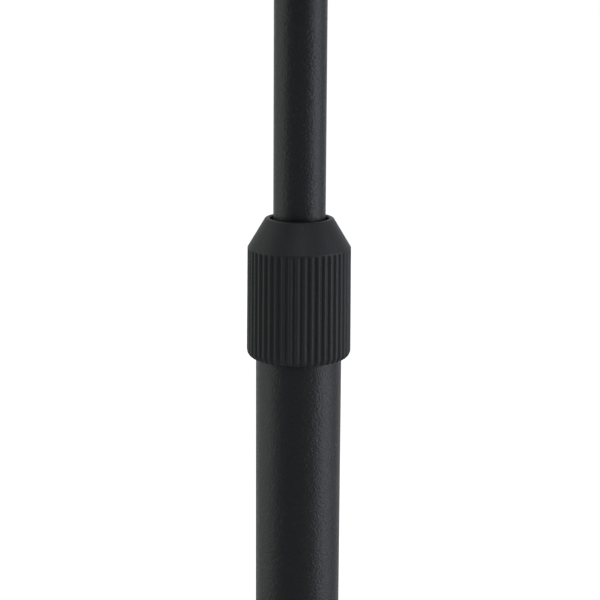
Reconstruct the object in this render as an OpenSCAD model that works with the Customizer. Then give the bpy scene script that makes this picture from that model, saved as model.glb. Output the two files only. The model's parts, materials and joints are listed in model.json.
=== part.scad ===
// Orchestra music stand: tilting desk, telescopic mast held by a twist clutch, folding tripod base.
// Millimetres. The origin is on the column's axis at floor level, +Z is up and the player sits at -Y.

/* [Column] */
// Outside diameter of the outer tube
column_d = 31.9; // [28:0.1:40]
// Wall thickness of the outer tube
column_wall = 1.5; // [1.2:0.1:2]
// Height of the outer tube's top end above the floor
column_top = 700; // [560:5:860]

/* [Mast] */
// Outside diameter of the inner tube
mast_d = 19.3; // [15.8:0.1:23.2]
// Wall thickness of the inner tube
mast_wall = 1.5; // [1:0.1:2]
// Length of the inner tube
mast_len = 650; // [520:5:800]
// Length of inner tube that is inside the outer tube at rest
mast_inserted = 300; // [240:5:420]

/* [Clutch] */
// Height of the ribbed collar
collar_h = 52.5; // [50:0.5:65]
// Height of the collar's smooth conical top
cone_h = 11; // [8:0.5:13]
// Thickness of the collar round the outer tube, at the top of its ribs
collar_wall = 3.15; // [3:0.05:5]
// How much wider the collar's foot is than the top of its ribs, on the radius
collar_draft = 0.25; // [0:0.05:0.5]
// Number of grip ribs round the collar
rib_count = 45; // [30:1:54]
// Radius of the round groove between two ribs
groove_r = 0.75; // [0.5:0.05:0.9]
// Width of the collar's flat rim round its mouth
rim_w = 1.6; // [1.2:0.1:3]
// Gap between the inner tube and the collar's mouth
mouth_gap = 1.25; // [1:0.05:2]
// How far the collar's skirt reaches down over the outer tube
skirt_h = 26; // [22:0.5:30]

/* [Tripod] */
// Distance from the column's axis to the end of each leg tube
foot_reach = 291; // [240:1:350]
// Slope of the open legs above the floor, in degrees
leg_rise = 24; // [20:1:30]
// Outside diameter of a leg tube
leg_d = 16; // [13:0.5:19.5]
// Wall thickness of a leg tube
leg_wall = 1.2; // [1:0.1:1.6]
// Height of the lower hub's pivots above the floor
lower_pivot_z = 34; // [30:1:42]
// Height of a leg tube's end centre above the floor
foot_drop = 13; // [13:0.5:16]
// Thickness of a brace bar
bar_t = 2.5; // [2:0.1:3.5]
// Width of a brace bar
bar_w = 14; // [12:0.5:16]

/* [Desk] */
// Width of the desk panel
desk_w = 500; // [400:5:600]
// Height of the desk panel above its shelf
desk_h = 340; // [290:5:400]
// Thickness of the desk's sheet steel
sheet = 1.2; // [1:0.1:1.5]
// Radius of the panel's two top corners
corner_r = 20; // [12:1:30]
// Depth of the rim folded back round the panel
rim_h = 10; // [7:0.5:12]
// Depth of the shelf in front of the panel
shelf_d = 52; // [40:1:65]
// Height of the shelf's front lip
lip_h = 16; // [10:1:25]
// Diameter of a hole in the perforated panel
hole_d = 10; // [7:0.5:14]
// Spacing of the holes
hole_pitch = 36; // [30:1:45]
// How far the desk leans back from upright at rest, in degrees
desk_lean = 22; // [5:1:60]

/* [Tilt joint] */
// Distance from the desk's front face to the tilt axis
pivot_back = 42; // [40:0.5:50]
// Width of the tilt head's barrel
barrel_w = 30; // [28:0.5:36]
// Diameter of the tilt head's barrel
barrel_d = 28; // [26:0.5:30]
// Diameter of the tilt bolt and of the lock stud
bolt_d = 8; // [6:0.5:9]
// Diameter of the tilt knob
tilt_knob_d = 42; // [36:1:50]
// Diameter of the tripod's lock knob
lock_knob_d = 42; // [36:1:50]

/* [Hidden] */
$fn = 64;
// Clearances: a turning fit, a sliding fit, faces that face each other across a joint, and cutting overshoot
run_gap = 0.05;
slide_gap = 0.1;
face_gap = 0.1;
over = 1;

// Column
column_r = column_d / 2;
column_in = column_r - column_wall;
mast_r = mast_d / 2;
mast_z = column_top - mast_inserted;

// Clutch, with heights above the collar's foot
collar_z = column_top - skirt_h;
rib_r = column_r + collar_wall;
foot_r = rib_r + collar_draft;
cone_z = collar_h - cone_h;
mouth_r = mast_r + mouth_gap;
rim_r = mouth_r + rim_w;
foot_round = 3;
thread_h = 12;
thread_r = column_r - 0.3;
ring_t = 1.5;
collet_flange = 3;
spigot_h = 24;
seat_low_r = mast_r + 1.1;
seat_high_r = column_in - 1.4;
seat_depth = 6;
collet_gap = 0.15;
collet_rise = 2;
slit_w = 1.6;
shoulder_z = skirt_h + thread_h + collet_flange + ring_t + 3 * face_gap;
// Radius of the body's conical seat at a height above the column's top
function seat_at(z) = seat_low_r + (z + seat_depth) / (thread_h + seat_depth) * (seat_high_r - seat_low_r);

// Mast, with the cross pins in its guide bush and in the tilt head's socket
bush_len = 40;
bush_lip = 3;
bush_pin_z = mast_z + bush_len / 2;
bush_pin_r = 1.5;
head_pin_r = 2.5;

// Tripod. Links of equal length make each leg and its brace fold as an isosceles pair.
leg_r = leg_d / 2;
pin_r = 3;
eye_r = 7;
eye_w = 12;
ear_t = 5;
knuckle_len = 16;
knuckle_spigot = 22;
hub_wall = 5.6;
hub_half = 18;
hub_r = column_r + hub_wall;
pivot_r = hub_r + eye_r + 3.5;
leg_len = (foot_reach - pivot_r) / cos(leg_rise);
upper_pivot_z = foot_drop + leg_len * sin(leg_rise);
link_len = (upper_pivot_z - lower_pivot_z) / (2 * sin(leg_rise));
bar_in = leg_r + 0.3;
lug_w = 2 * (bar_in - face_gap);
sleeve_wall = 3.7;
slider_top = 26;
slider_low = 12;
column_z = lower_pivot_z - hub_half - 2;
plug_t = 3;
plug_spigot = 14;
plug_wall = 2.5;
head_r = 5.5;
head_h = 2.2;
boot_r = leg_r + 2.6;
boot_len = 34;
boot_end = 2;
pad_r = leg_r + 4;

// Lock knob, with distances from the column's axis
boss_r = 9;
boss_end = hub_r + 12.5;
lock_z = upper_pivot_z + 8;
pad_t = 3;
insert_r = bolt_d / 2 + 2.5;
knob_standoff = 4;

// Tilt joint
tube_stop = 20;
pivot_z = mast_z + mast_len + tube_stop;
socket_r = mast_r + 3.5;
socket_low = 48;
socket_lip = 1.2;
head_pin_z = pivot_z - (tube_stop + socket_low) / 2;
head_pin_out = 0.3;
disc_t = 1.5;
ear_in = barrel_w / 2 + disc_t + face_gap;
ear_thick = 2.5;
ear_out = ear_in + ear_thick;
bolt_r = bolt_d / 2;
washer_t = 1.6;
knob_face = ear_out + washer_t + 2 * run_gap;
knob_hub = 11;
knob_body = 16;

// Desk, in a frame whose origin is the tilt axis and whose Z runs up the panel
front_y = -pivot_back;
back_y = front_y + sheet;
shelf_z = -desk_h / 2;
strip_h = 18;
bend_r = 2 * sheet;
curl_r = 2.2;
spine_d = 14;
spine_t = 1.5;
spine_web = 44;
spine_w = 68;
spine_len = 220;
web_y = back_y + spine_d;
plate_h = 70;
rivet_r = 2;

// ---- Shared shapes ----

// A straight tube along Z
module tube(r_out, r_in, z0, z1) {
    difference() {
        translate([0, 0, z0]) cylinder(r = r_out, h = z1 - z0);
        translate([0, 0, z0 - over]) cylinder(r = r_in, h = z1 - z0 + 2 * over);
    }
}

// A rod from z0 to z1
module rod(r, z0, z1) translate([0, 0, z0]) cylinder(r = r, h = z1 - z0);

// Children drawn along Z are laid along X, Y or -Y
module along_x() rotate([0, 90, 0]) children();
module along_y() rotate([-90, 0, 0]) children();
module along_front() rotate([90, 0, 0]) children();

// A low domed head on the XY plane, rising to h
module dome(r, h) {
    ball = (r * r + h * h) / (2 * h);
    intersection() {
        translate([0, 0, h - ball]) sphere(r = ball);
        cylinder(r = r + over, h = h + over);
    }
}

// A pin along Y with a domed head at both ends, for a stack that reaches half to either side
module headed_pin(half) {
    along_y() {
        rod(pin_r, -half, half);
        translate([0, 0, half]) dome(head_r, head_h);
        rotate([180, 0, 0]) translate([0, 0, half]) dome(head_r, head_h);
    }
}

// A plate in the XZ plane whose front face is at y = front and whose thickness is t
module upright_plate(front, t) {
    translate([0, front + t, 0]) rotate([90, 0, 0]) linear_extrude(t) children();
}

// A grip knob along Z from 0: a hub, then a body with five round scallops, both rounded at the edges
module scalloped_knob(d, hub_h, body_h, hub_r) {
    edge = 3;
    scallop_r = d / 5;
    difference() {
        rotate_extrude() {
            square([hub_r, hub_h + over]);
            translate([0, hub_h]) square([d / 2 - edge, body_h]);
            translate([0, hub_h + edge]) square([d / 2, body_h - 2 * edge]);
            for (z = [edge, body_h - edge]) translate([d / 2 - edge, hub_h + z]) circle(r = edge);
        }
        for (k = [0:4]) rotate([0, 0, 72 * k + 36]) translate([d / 2 + scallop_r * 0.55, 0, 0])
            rod(scallop_r, hub_h - over, hub_h + body_h + over);
    }
}

// ---- Frames ----

// Leg 1 points away from the player, and 2 and 3 follow every 120 degrees
module at_leg(i) rotate([0, 0, 90 + 120 * (i - 1)]) children();
// Z runs down a leg from its upper pivot
module down_leg(i) at_leg(i) translate([pivot_r, 0, upper_pivot_z]) rotate([0, 90 + leg_rise, 0]) children();
// Z runs out along a brace from its lower pivot
module out_brace(i) at_leg(i) translate([pivot_r, 0, lower_pivot_z]) rotate([0, 90 - leg_rise, 0]) children();
// The tilt axis is X, and Z runs up the desk panel
module at_desk() translate([0, 0, pivot_z]) rotate([-desk_lean, 0, 0]) children();

// ---- Column ----

module outer_tube() {
    color("#1b1c1e") tube(column_r, column_in, column_z, column_top);
}

module column_plug() {
    color("#151515") {
        rod(column_r, column_z - plug_t, column_z);
        tube(column_in, column_in - plug_wall, column_z - plug_t / 2, column_z + plug_spigot);
    }
}

// Threaded sleeve pressed into the column's top, with a conical seat for the collet
module clutch_body() {
    color("#8d8f92") translate([0, 0, column_top]) difference() {
        union() {
            rod(column_in, -spigot_h, over);
            rod(thread_r, 0, thread_h);
        }
        translate([0, 0, -spigot_h - over]) cylinder(r = mast_r + 0.4, h = spigot_h + thread_h + 2 * over);
        translate([0, 0, -seat_depth])
            cylinder(r1 = seat_low_r, r2 = seat_high_r, h = seat_depth + thread_h);
        translate([0, 0, thread_h - 0.01]) cylinder(r = seat_high_r, h = over);
    }
}

// Three lugs that the braces straddle, on a ring round the column
module lower_hub() {
    color("#1d1e20") difference() {
        union() {
            rod(hub_r, lower_pivot_z - hub_half, lower_pivot_z + hub_half);
            for (i = [1:3]) at_leg(i) {
                translate([column_r, -lug_w / 2, lower_pivot_z - eye_r])
                    cube([pivot_r - column_r, lug_w, 2 * eye_r]);
                translate([pivot_r, 0, lower_pivot_z]) along_y() rod(eye_r, -lug_w / 2, lug_w / 2);
            }
        }
        rod(column_r, lower_pivot_z - hub_half - over, lower_pivot_z + hub_half + over);
        for (i = [1:3]) at_leg(i) translate([pivot_r, 0, lower_pivot_z]) along_y()
            rod(pin_r, -lug_w, lug_w);
        for (i = [1:3]) at_leg(i + 0.5) translate([0, 0, lower_pivot_z]) along_x()
            rod(rivet_r, 0, hub_r + over);
    }
}

// Rivets between the lugs that hold the hub on the tube
module lower_hub_rivets() {
    color("#2a2b2d") for (i = [1:3]) at_leg(i + 0.5) translate([0, 0, lower_pivot_z]) along_x() {
        rod(rivet_r, column_r, hub_r);
        intersection() {
            translate([0, 0, hub_r - 0.6]) dome(2 * rivet_r, 2.2);
            rod(2 * rivet_r, hub_r - 0.3, hub_r + 3);
        }
    }
}

module lower_pins() {
    color("#9a9c9f") for (i = [1:3]) at_leg(i) translate([pivot_r, 0, lower_pivot_z])
        headed_pin(bar_in + bar_t + face_gap);
}

// ---- Clutch ----

// Ribbed twist collar. The skirt slides over the column, and the thread and the shoulder are inside.
module clutch_collar() {
    color("#242527") translate([0, 0, collar_z]) difference() {
        rotate_extrude() {
            polygon([
                [0, foot_round], [foot_r, foot_round], [rib_r, cone_z], [rim_r, collar_h], [0, collar_h]
            ]);
            square([foot_r - foot_round, foot_round + over]);
            translate([foot_r - foot_round, foot_round]) circle(r = foot_round);
        }
        rod(column_r + slide_gap, -over, skirt_h);
        rod(thread_r + slide_gap, skirt_h - 0.01, skirt_h + thread_h);
        rod(column_in + 0.5, skirt_h, shoulder_z);
        rod(mouth_r, shoulder_z - over, collar_h + over);
        for (k = [0:rib_count - 1]) rotate([0, 0, 360 / rib_count * k])
            translate([rib_r + 0.15, 0, -over]) cylinder(r = groove_r, h = cone_z - 0.5 + over, $fn = 24);
    }
}

// Steel ring between the collar's shoulder and the collet
module thrust_ring() {
    color("#a9abae") translate([0, 0, column_top + thread_h + collet_flange + face_gap])
        tube(column_in + 0.2, mast_r + 0.9, 0, ring_t);
}

// Split nylon collet that the collar presses into the body's cone, so that it grips the inner tube
module clutch_collet() {
    low_z = collet_rise - seat_depth;
    top_z = thread_h + collet_flange;
    top_r = seat_high_r - collet_gap;
    color("#d9d6cc") translate([0, 0, column_top]) difference() {
        union() {
            translate([0, 0, low_z])
                cylinder(r1 = seat_at(low_z) - collet_gap, r2 = top_r, h = thread_h - low_z);
            rod(seat_high_r + 0.9, thread_h + face_gap, top_z);
            rod(top_r, thread_h - 0.01, thread_h + face_gap + 0.01);
        }
        rod(mast_r + run_gap, -seat_depth - over, top_z + over);
        for (k = [0:1]) rotate([0, 0, 90 * k])
            translate([-seat_high_r - over, -slit_w / 2, -seat_depth - over])
                cube([2 * (seat_high_r + over), slit_w, seat_depth + thread_h - slit_w + over]);
    }
}

// ---- Mast ----

module inner_tube() {
    color("#1b1c1e") difference() {
        tube(mast_r, mast_r - mast_wall, mast_z, mast_z + mast_len);
        translate([0, 0, bush_pin_z]) along_x() rod(bush_pin_r, -mast_r - over, mast_r + over);
        translate([0, 0, head_pin_z]) along_x() rod(head_pin_r, -mast_r - over, mast_r + over);
    }
}

// Nylon bush that guides the inner tube's foot inside the column
module guide_bush() {
    color("#d9d6cc") difference() {
        union() {
            tube(column_in - run_gap, mast_r, mast_z, mast_z + bush_len);
            tube(column_in - run_gap, mast_r - mast_wall, mast_z - bush_lip, mast_z + 0.01);
        }
        translate([0, 0, bush_pin_z]) along_x() rod(bush_pin_r, -column_r, column_r);
    }
}

module bush_pin() {
    color("#9a9c9f") translate([0, 0, bush_pin_z]) along_x() rod(bush_pin_r, -column_in + 1, column_in - 1);
}

// Barrel that the desk turns on, with a socket for the inner tube's top
module tilt_head() {
    color("#1d1e20") translate([0, 0, pivot_z]) difference() {
        union() {
            along_x() rod(barrel_d / 2, -barrel_w / 2, barrel_w / 2);
            rod(socket_r, -socket_low, 0);
            translate([0, 0, -socket_low]) cylinder(r = socket_r + socket_lip, h = 4 * socket_lip);
        }
        along_x() rod(bolt_r + 0.1, -barrel_w, barrel_w);
        rod(mast_r, -socket_low - over, -tube_stop);
        translate([0, 0, head_pin_z - pivot_z]) along_x() rod(head_pin_r, -socket_r - over, socket_r + over);
    }
}

module head_pin() {
    half = socket_r + head_pin_out;
    color("#9a9c9f") translate([0, 0, head_pin_z]) along_x() rod(head_pin_r, -half, half);
}

// ---- Desk ----

// Outline of the panel, square at the shelf and rounded at the top corners, drawn in by inset
module panel_outline(inset, low) {
    r = corner_r - inset;
    w = desk_w / 2 - inset;
    top = desk_h / 2 - inset;
    translate([-w, low]) square([2 * w, top - r - low]);
    translate([-w + r, low]) square([2 * (w - r), top - low]);
    for (s = [-1, 1]) translate([s * (w - r), top - r]) circle(r = r);
}

// Rows of punched holes, every other row shifted by half a pitch, clear of the spine and the rim
hole_x_max = desk_w / 2 - 26;
hole_x_min = spine_w / 2 + hole_d / 2 + 4;
hole_rows = floor((desk_h - 70) / hole_pitch);
hole_z0 = -hole_rows * hole_pitch / 2 + 4;
module panel_holes() {
    for (j = [0:hole_rows]) {
        shift = j % 2 == 0 ? 0 : hole_pitch / 2;
        for (k = [0:ceil(desk_w / 2 / hole_pitch)]) {
            x = k * hole_pitch + shift;
            if (x > hole_x_min && x < hole_x_max) for (s = [-1, 1])
                translate([s * x, 0, hole_z0 + j * hole_pitch]) along_y()
                    rod(hole_d / 2, front_y - over, front_y + rim_h);
        }
    }
}

// Places of the rivets that hold the spine, and of those along the shelf
spine_rivet_x = (spine_web + spine_w) / 4;
spine_rivet_places = [for (s = [-1, 1], z = [-1, 0, 1]) [s * spine_rivet_x, z * (spine_len / 2 - 12)]];
shelf_rivet_places = [for (k = [-3:3]) [k * (desk_w - 60) / 6, shelf_z - strip_h / 2 - 1]];
bracket_rivet_places = [for (s = [-1, 1], z = [-1, 1]) [s * 10, z * (plate_h / 2 - 9)]];

// Children are repeated at places given as pairs of X and Z
module at_places(places) for (p = places) translate([p[0], 0, p[1]]) children();

// Sheet-steel panel with a folded rim, and a strip set back behind the shelf's flange
module desk_panel() {
    color("#1b1c1e") at_desk() difference() {
        union() {
            difference() {
                upright_plate(front_y, rim_h) panel_outline(0, shelf_z);
                upright_plate(back_y, rim_h) panel_outline(sheet, shelf_z - over);
            }
            translate([-desk_w / 2 + 3, back_y, shelf_z - strip_h]) cube([desk_w - 6, sheet, strip_h + 4]);
        }
        panel_holes();
        at_places(spine_rivet_places) along_y() rod(rivet_r, front_y - over, back_y + over);
        at_places(shelf_rivet_places) along_y() rod(rivet_r, front_y - over, back_y + 2 * over);
    }
}

// Section of the shelf: a flange against the strip, the floor, and a lip with a curled edge. X is forward.
module shelf_section() {
    // flange down against the panel's strip
    translate([-sheet, -strip_h]) square([sheet, strip_h - bend_r]);
    // bend from flange to floor
    intersection() {
        translate([bend_r - sheet, -bend_r]) difference() {
            circle(r = bend_r);
            circle(r = bend_r - sheet);
        }
        translate([-sheet, -bend_r]) square([bend_r, bend_r]);
    }
    // floor
    translate([bend_r - sheet, -sheet]) square([shelf_d - 2 * bend_r + sheet, sheet]);
    // bend from floor to lip
    intersection() {
        translate([shelf_d - bend_r, bend_r - sheet]) difference() {
            circle(r = bend_r);
            circle(r = bend_r - sheet);
        }
        translate([shelf_d - bend_r, -sheet]) square([bend_r, bend_r]);
    }
    // lip and its curled edge
    translate([shelf_d - sheet, bend_r - sheet]) square([sheet, lip_h - bend_r - curl_r + sheet]);
    translate([shelf_d - sheet + curl_r, lip_h - curl_r]) difference() {
        circle(r = curl_r);
        circle(r = curl_r - 0.9);
    }
}

module music_shelf() {
    color("#1b1c1e") at_desk() difference() {
        translate([-desk_w / 2, front_y, shelf_z]) rotate([90, 0, -90]) mirror([0, 0, 1])
            linear_extrude(desk_w) shelf_section();
        at_places(shelf_rivet_places) along_y() rod(rivet_r, front_y - over, back_y + over);
    }
}

module shelf_rivets() {
    color("#2a2b2d") at_desk() at_places(shelf_rivet_places) {
        along_y() rod(rivet_r, front_y, back_y + sheet);
        translate([0, front_y, 0]) along_front() dome(2 * rivet_r, 1.4);
        translate([0, back_y + sheet, 0]) along_y() dome(1.7 * rivet_r, 1.2);
    }
}

// Hat-section channel that stiffens the panel's back
module desk_spine() {
    w = spine_w / 2;
    v = spine_web / 2;
    color("#1d1e20") at_desk() difference() {
        translate([0, back_y, -spine_len / 2]) linear_extrude(spine_len) polygon([
            [-w, 0], [-v, 0], [-v + spine_t, 0], [-v + spine_t, spine_d - spine_t],
            [v - spine_t, spine_d - spine_t], [v - spine_t, 0], [v, 0], [w, 0], [w, spine_t], [v, spine_t],
            [v, spine_d], [-v, spine_d], [-v, spine_t], [-w, spine_t]
        ]);
        at_places(spine_rivet_places) along_y() rod(rivet_r, back_y - over, back_y + 3 * over);
        at_places(bracket_rivet_places) along_y() rod(rivet_r, web_y - 3 * over, web_y + over);
    }
}

// Rivets flush with the panel's front, headed on the spine
module spine_rivets() {
    color("#2a2b2d") at_desk() at_places(spine_rivet_places) {
        along_y() rod(rivet_r, front_y, back_y + spine_t);
        translate([0, back_y + spine_t, 0]) along_y() dome(2 * rivet_r, 1.4);
    }
}

// U bracket whose ears carry the tilt bolt
module tilt_bracket() {
    ear_r = barrel_d / 2;
    color("#1d1e20") at_desk() difference() {
        union() {
            translate([-ear_out, web_y, -plate_h / 2]) cube([2 * ear_out, ear_thick, plate_h]);
            for (s = [-1, 1]) translate([s * (ear_in + ear_out) / 2, 0, 0]) {
                translate([-ear_thick / 2, web_y, -ear_r]) cube([ear_thick, -web_y, 2 * ear_r]);
                along_x() rod(ear_r, -ear_thick / 2, ear_thick / 2);
            }
        }
        along_x() rod(bolt_r + 0.2, 0, ear_out + over);
        translate([-ear_out - over, -bolt_r, -bolt_r]) cube([ear_thick + 2 * over, bolt_d, bolt_d]);
        at_places(bracket_rivet_places) along_y() rod(rivet_r, web_y - over, web_y + 4 * over);
    }
}

module bracket_rivets() {
    color("#2a2b2d") at_desk() at_places(bracket_rivet_places) {
        along_y() rod(rivet_r, web_y - spine_t, web_y + ear_thick);
        translate([0, web_y + ear_thick, 0]) along_y() dome(2 * rivet_r, 1.6);
        translate([0, web_y - spine_t, 0]) along_front() dome(1.7 * rivet_r, 1.2);
    }
}

// Carriage bolt: domed head, square neck in the left ear, plain shank to inside the knob
module tilt_bolt() {
    color("#9a9c9f") at_desk() {
        translate([-ear_out, 0, 0]) rotate([0, -90, 0]) dome(9, 4);
        translate([-ear_out, -bolt_r, -bolt_r]) cube([ear_thick, bolt_d, bolt_d]);
        along_x() rod(bolt_r, -ear_in, knob_face + knob_hub + 8);
    }
}

module friction_discs() {
    color("#3a3a38") at_desk() for (s = [-1, 1]) translate([s * (ear_in - disc_t / 2 - run_gap), 0, 0])
        along_x() tube(barrel_d / 2 - 1, bolt_r + 0.1, -disc_t / 2, disc_t / 2);
}

module tilt_washer() {
    color("#9a9c9f") at_desk() along_x()
        tube(9, bolt_r + run_gap, ear_out + run_gap, ear_out + run_gap + washer_t);
}

module tilt_knob() {
    color("#202123") at_desk() along_x() translate([0, 0, knob_face]) difference() {
        scalloped_knob(tilt_knob_d, knob_hub, knob_body, insert_r + 3);
        rod(insert_r, -over, knob_hub + 2);
        rod(bolt_r + 0.3, 0, knob_hub + 11);
    }
}

module tilt_knob_insert() {
    color("#b08d4a") at_desk() along_x() translate([0, 0, knob_face])
        tube(insert_r, bolt_r + run_gap, 0, knob_hub + 2);
}

// ---- Tripod slider and its lock ----

// Sleeve that slides on the column, with an ear pair for each leg and a boss for the lock stud
module slider_hub() {
    ear_y = eye_w / 2 + 2 * face_gap;
    sleeve_low = lower_pivot_z + hub_half + 3 * face_gap;
    color("#1d1e20") difference() {
        union() {
            rod(column_r + sleeve_wall, sleeve_low, upper_pivot_z);
            rod(hub_r, upper_pivot_z - slider_low, upper_pivot_z + slider_top);
            for (i = [1:3], s = [-1, 1]) at_leg(i) translate([0, s * (ear_y + ear_t / 2), upper_pivot_z]) {
                translate([column_r, -ear_t / 2, -eye_r - 1]) cube([pivot_r - column_r, ear_t, 2 * (eye_r + 1)]);
                translate([pivot_r, 0, 0]) along_y() rod(eye_r + 1, -ear_t / 2, ear_t / 2);
            }
            translate([0, 0, lock_z]) along_front() rod(boss_r, 0, boss_end);
        }
        rod(column_r + slide_gap, sleeve_low - over, upper_pivot_z + slider_top + over);
        for (i = [1:3]) at_leg(i) translate([pivot_r, 0, upper_pivot_z]) along_y()
            rod(pin_r, -2 * eye_w, 2 * eye_w);
        translate([0, 0, lock_z]) along_front() rod(bolt_r + run_gap, 0, boss_end + over);
        translate([0, 0, lock_z]) along_front() rod(insert_r, hub_r, boss_end + over);
    }
}

module upper_pins() {
    color("#9a9c9f") for (i = [1:3]) at_leg(i) translate([pivot_r, 0, upper_pivot_z])
        headed_pin(eye_w / 2 + 2 * face_gap + ear_t);
}

module lock_insert() {
    color("#b08d4a") translate([0, 0, lock_z]) along_front()
        tube(insert_r, bolt_r + run_gap, hub_r, boss_end);
}

module lock_pad() {
    color("#d9d6cc") translate([0, 0, lock_z]) along_front()
        rod(bolt_r - 0.1, column_r + run_gap, column_r + pad_t);
}

module lock_stud() {
    color("#9a9c9f") translate([0, 0, lock_z]) along_front()
        rod(bolt_r, column_r + pad_t + run_gap, boss_end + knob_standoff + knob_hub + 6);
}

module lock_knob() {
    face_z = boss_end + knob_standoff;
    color("#202123") translate([0, 0, lock_z]) along_front() translate([0, 0, face_z]) difference() {
        scalloped_knob(lock_knob_d, knob_hub, knob_body, insert_r + 3);
        rod(bolt_r, -over, knob_hub + 6);
    }
}

// ---- Legs ----

module leg_tube(i) {
    color("#1b1c1e") down_leg(i) difference() {
        tube(leg_r, leg_r - leg_wall, knuckle_len, leg_len - boot_end);
        translate([0, 0, link_len]) along_y() rod(pin_r + run_gap, -leg_d, leg_d);
    }
}

// Eye between the slider's ears, and a spigot pressed into the leg tube
module leg_knuckle(i) {
    color("#202123") down_leg(i) difference() {
        union() {
            along_y() rod(eye_r, -eye_w / 2, eye_w / 2);
            translate([-eye_w / 2, -eye_w / 2, 0]) cube([eye_w, eye_w, knuckle_len - 2]);
            rod(leg_r, knuckle_len - 4, knuckle_len);
            rod(leg_r - leg_wall, knuckle_len - over, knuckle_len + knuckle_spigot);
        }
        along_y() rod(pin_r + run_gap, -eye_w, eye_w);
    }
}

// Rubber boot with a flat sole on the floor
module foot(i) {
    color("#151515") difference() {
        union() {
            down_leg(i) rod(boot_r, leg_len - boot_len, leg_len);
            down_leg(i) translate([0, 0, leg_len]) sphere(r = boot_r);
            at_leg(i) translate([foot_reach - 3, 0, 0]) cylinder(r = pad_r, h = foot_drop - 3);
        }
        down_leg(i) rod(leg_r, leg_len - boot_len - over, leg_len - boot_end);
    }
}

// Two flat bars that straddle the leg and the lower hub's lug
module brace_bars(i) {
    color("#1b1c1e") out_brace(i) for (s = [-1, 1]) translate([0, s * (bar_in + bar_t / 2), 0]) difference() {
        union() {
            translate([-bar_w / 2, -bar_t / 2, 0]) cube([bar_w, bar_t, link_len]);
            for (z = [0, link_len]) translate([0, 0, z]) along_y() rod(bar_w / 2, -bar_t / 2, bar_t / 2);
        }
        along_y() rod(pin_r + run_gap, -bar_t, bar_t);
        translate([0, 0, link_len]) along_y() rod(pin_r, -bar_t, bar_t);
    }
}

module brace_rivet(i) {
    color("#9a9c9f") out_brace(i) translate([0, 0, link_len]) headed_pin(bar_in + bar_t);
}

outer_tube();
clutch_body();
lower_hub();
lower_hub_rivets();
lower_pins();
column_plug();
clutch_collar();
thrust_ring();
clutch_collet();
inner_tube();
guide_bush();
bush_pin();
tilt_head();
head_pin();
desk_panel();
music_shelf();
shelf_rivets();
desk_spine();
spine_rivets();
tilt_bracket();
bracket_rivets();
tilt_bolt();
friction_discs();
tilt_washer();
tilt_knob();
tilt_knob_insert();
slider_hub();
upper_pins();
lock_insert();
lock_pad();
lock_stud();
lock_knob();
for (i = [1:3]) {
    leg_tube(i);
    leg_knuckle(i);
    foot(i);
    brace_bars(i);
    brace_rivet(i);
}
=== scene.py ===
# %% [markdown]
# # A folding orchestra music stand
# This lesson dresses a finished CAD model of a music stand: a steel desk on a telescopic mast, a ribbed twist
# clutch that holds the height, and a folding tripod. The CAD model fixes every size and every joint, so each new
# piece here takes its place from it. What is added is what CAD leaves plain: rolled edges, soft corners, the grip's
# ribs, and real finishes.

# %% Load the frame
import json
import math
import bmesh
import bpy
from mathutils import Matrix, Vector


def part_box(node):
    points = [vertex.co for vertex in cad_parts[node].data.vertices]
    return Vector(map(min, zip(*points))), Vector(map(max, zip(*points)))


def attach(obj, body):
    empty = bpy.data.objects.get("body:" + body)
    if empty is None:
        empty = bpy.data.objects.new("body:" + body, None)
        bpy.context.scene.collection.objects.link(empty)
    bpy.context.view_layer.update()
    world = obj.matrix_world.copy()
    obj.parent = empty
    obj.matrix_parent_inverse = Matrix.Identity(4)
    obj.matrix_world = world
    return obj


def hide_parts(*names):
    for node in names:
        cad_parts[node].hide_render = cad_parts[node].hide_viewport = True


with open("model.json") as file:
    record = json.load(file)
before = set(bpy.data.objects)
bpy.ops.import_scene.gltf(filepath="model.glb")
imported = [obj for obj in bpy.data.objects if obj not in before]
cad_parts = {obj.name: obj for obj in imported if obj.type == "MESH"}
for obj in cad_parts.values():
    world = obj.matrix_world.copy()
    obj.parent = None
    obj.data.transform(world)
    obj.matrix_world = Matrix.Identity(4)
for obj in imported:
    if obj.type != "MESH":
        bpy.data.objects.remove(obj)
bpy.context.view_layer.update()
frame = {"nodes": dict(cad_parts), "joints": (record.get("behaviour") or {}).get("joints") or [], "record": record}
nodes, record = frame["nodes"], frame["record"]
joints = {j["name"]: j for j in frame["joints"]}
mounts = {m["name"]: m for m in record["mounts"]}
mm = 0.001
touching = 1e-7

# %% [markdown]
# ## Helpers: outlines, turned shapes and slabs
# Almost every part of a stand is turned, pressed or moulded. All three start from an outline: a few corners, each
# with the radius that a lathe tool or a mould would leave. The outline is one bmesh face whose corners are rounded
# by a vertex bevel. Spun round an axis it is a turned part, and extruded it is a plate.

# %% Outline
def outline(corners, arc=5):
    """One face in the XZ plane with (x, z, rounding) corners."""
    bm = bmesh.new()
    verts = [bm.verts.new((x, 0, z)) for x, z, _ in corners]
    bm.faces.new(verts)
    for k, (x, z, radius) in enumerate(corners):
        if radius > 0:
            back = Vector(corners[k - 1][:2]) - Vector((x, z))
            ahead = Vector(corners[(k + 1) % len(corners)][:2]) - Vector((x, z))
            bmesh.ops.bevel(bm, geom=[verts[k]], offset=radius / math.tan(back.angle(ahead) / 2),
                            offset_type="OFFSET", segments=arc, profile=0.5, affect="VERTICES", material=-1)
    bmesh.ops.remove_doubles(bm, verts=bm.verts, dist=touching)
    return bm


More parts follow.
